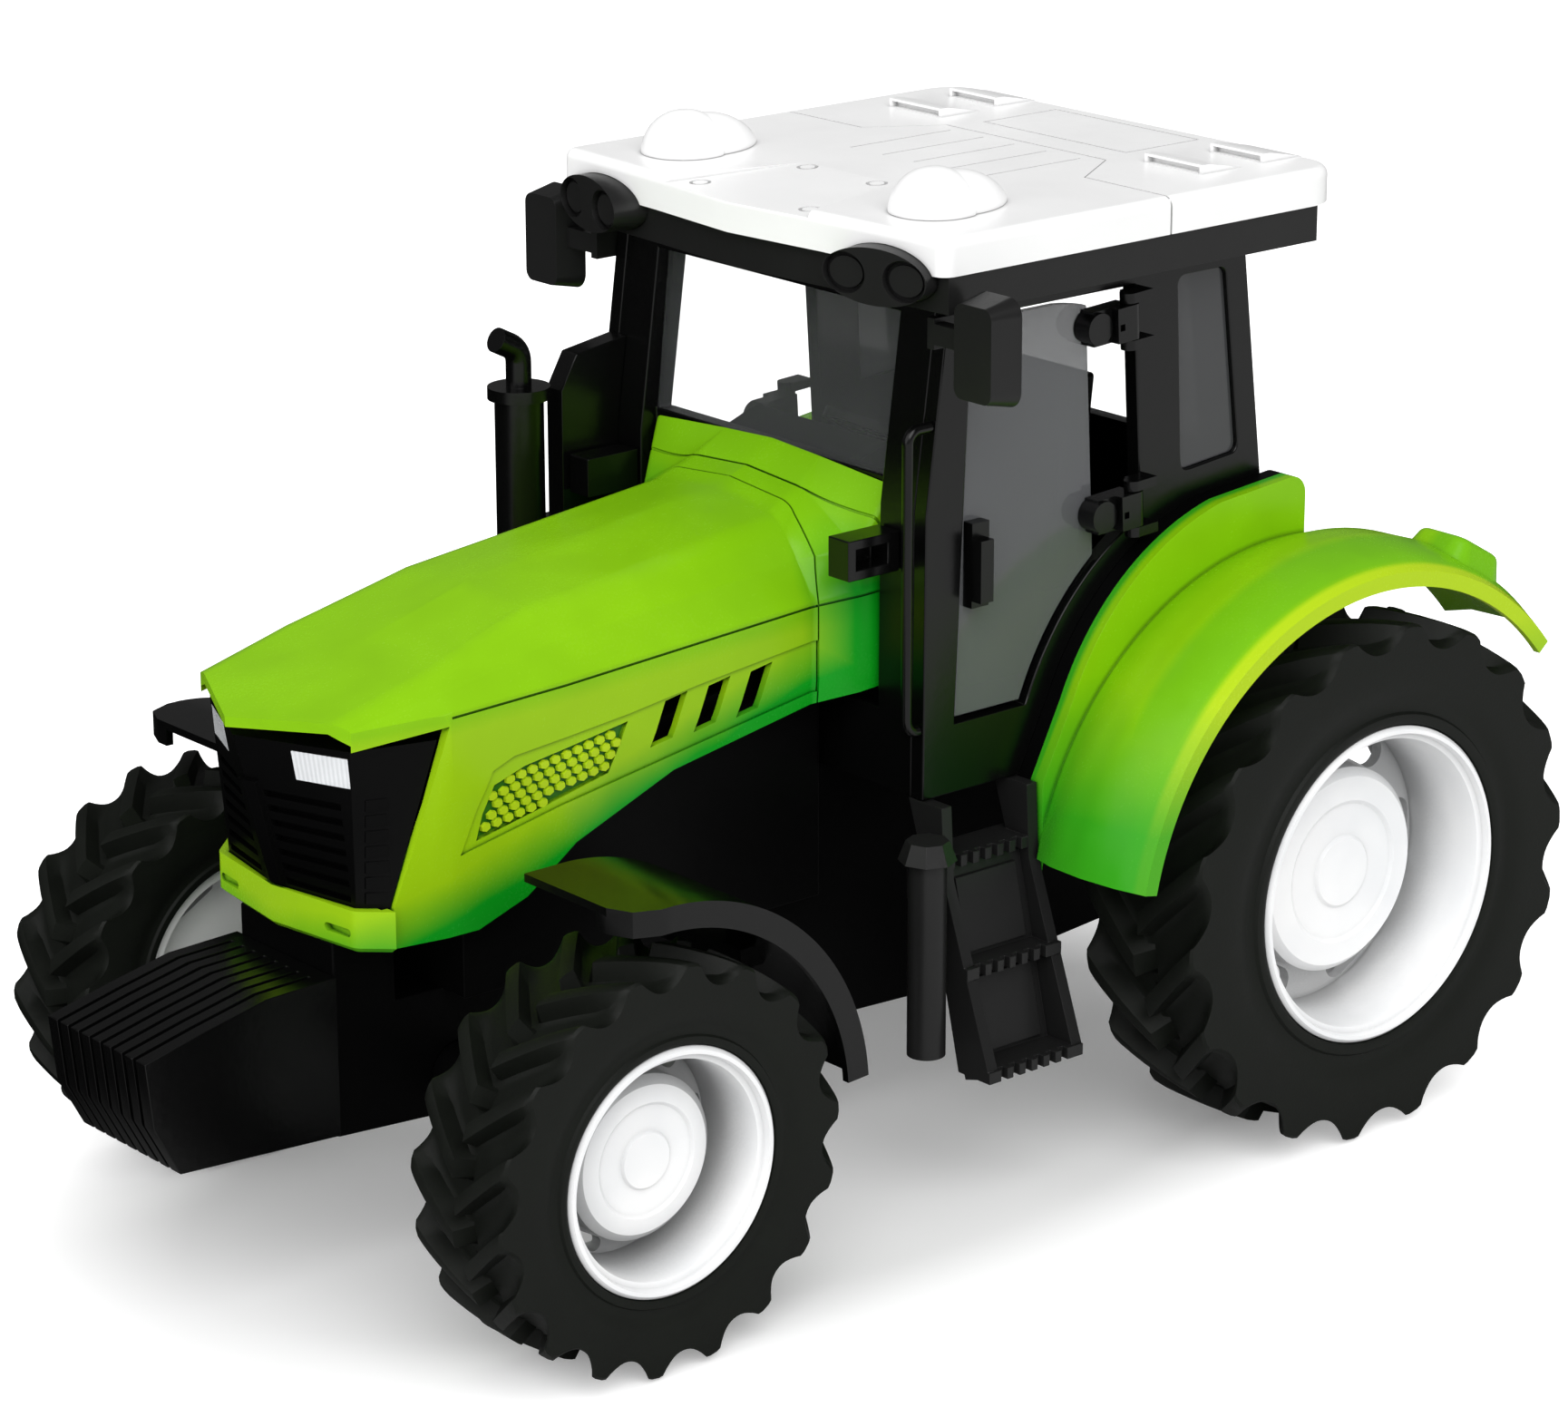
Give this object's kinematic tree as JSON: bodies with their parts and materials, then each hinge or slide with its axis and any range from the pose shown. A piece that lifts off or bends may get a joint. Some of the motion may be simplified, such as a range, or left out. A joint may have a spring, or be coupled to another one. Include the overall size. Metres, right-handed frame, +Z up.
{
  "type": "toy farm tractor",
  "caption": "Plastic toy farm tractor with a glazed cab, opening doors, deep dished rims and free-rolling lugged tyres.",
  "frame": {"origin": "on the floor, under the middle of the tractor's length and width", "axes": "+X forward, +Y to the tractor's left, +Z up"},
  "size_m": [0.3052, 0.171, 0.205],
  "materials": {
    "green_plastic": "bright green, glossy moulded",
    "fender_plastic": "black, glossy moulded",
    "white_plastic": "white, glossy moulded",
    "lamp_plastic": "white lens with a fluted face",
    "tyre_rubber": "soft black, satin",
    "smoke_glass": "smoke-grey clear plastic",
    "clear_glass": "slightly milky clear plastic",
    "gloss_black_plastic": "black, glossy moulded",
    "matt_black_plastic": "black, satin moulded",
    "steel": "plain bright steel"
  },
  "bodies": {
    "tractor_body": {"air_duct": "gloss_black_plastic", "beacons": "white_plastic", "cab_floor": "matt_black_plastic", "cab_front": "gloss_black_plastic", "cab_rear": "gloss_black_plastic", "cab_side_left": "gloss_black_plastic", "cab_side_right": "gloss_black_plastic", "chassis": "matt_black_plastic", "cowl": "green_plastic", "dashboard": "matt_black_plastic", "door_hinges": "gloss_black_plastic", "engine_block": "matt_black_plastic", "exhaust": "gloss_black_plastic", "fender_seals": "matt_black_plastic", "front_axle": "steel", "front_fender_left": "fender_plastic", "front_fender_right": "fender_plastic", "front_weights": "matt_black_plastic", "grab_rail": "gloss_black_plastic", "grille": "gloss_black_plastic", "headlights": "lamp_plastic", "hood": "green_plastic", "light_pods": "gloss_black_plastic", "mirror_brackets": "gloss_black_plastic", "mirrors": "gloss_black_plastic", "nose_lip": "green_plastic", "quarter_windows": "smoke_glass", "rear_axle": "steel", "rear_fender_left": "green_plastic", "rear_fender_right": "green_plastic", "rear_window": "smoke_glass", "roof": "white_plastic", "roof_frame": "gloss_black_plastic", "seat": "matt_black_plastic", "side_tanks": "matt_black_plastic", "steering_wheel": "matt_black_plastic", "steps_left": "matt_black_plastic", "steps_right": "matt_black_plastic", "tow_hitch": "matt_black_plastic", "windshield": "clear_glass"},
    "rear_wheel_left": {"rear_rim_left": "white_plastic", "rear_tyre_left": "tyre_rubber"},
    "rear_wheel_right": {"rear_rim_right": "white_plastic", "rear_tyre_right": "tyre_rubber"},
    "front_wheel_left": {"front_rim_left": "white_plastic", "front_tyre_left": "tyre_rubber"},
    "front_wheel_right": {"front_rim_right": "white_plastic", "front_tyre_right": "tyre_rubber"},
    "door_left": {"door_fittings_left": "gloss_black_plastic", "door_glass_left": "smoke_glass"},
    "door_right": {"door_fittings_right": "gloss_black_plastic", "door_glass_right": "smoke_glass"}
  },
  "joints": [
    {"name": "rear_wheel_left_spin", "type": "hinge", "parent": "tractor_body", "child": "rear_wheel_left", "pos_m": [-0.09815, 0.07, 0.0545], "axis": [0, 1, 0], "continuous": true},
    {"name": "rear_wheel_right_spin", "type": "hinge", "parent": "tractor_body", "child": "rear_wheel_right", "pos_m": [-0.09815, -0.07, 0.0545], "axis": [0, 1, 0], "continuous": true},
    {"name": "front_wheel_left_spin", "type": "hinge", "parent": "tractor_body", "child": "front_wheel_left", "pos_m": [0.08185, 0.0649, 0.0401], "axis": [0, 1, 0], "continuous": true},
    {"name": "front_wheel_right_spin", "type": "hinge", "parent": "tractor_body", "child": "front_wheel_right", "pos_m": [0.08185, -0.0649, 0.0401], "axis": [0, 1, 0], "continuous": true},
    {"name": "door_left_swing", "type": "hinge", "parent": "tractor_body", "child": "door_left", "pos_m": [-0.05795, 0.0526, 0.134], "axis": [0.0552, 0, 0.9985], "range_deg": [0, 55]},
    {"name": "door_right_swing", "type": "hinge", "parent": "tractor_body", "child": "door_right", "pos_m": [-0.05795, -0.0526, 0.134], "axis": [0.0552, 0, 0.9985], "range_deg": [-55, 0]}
  ]
}
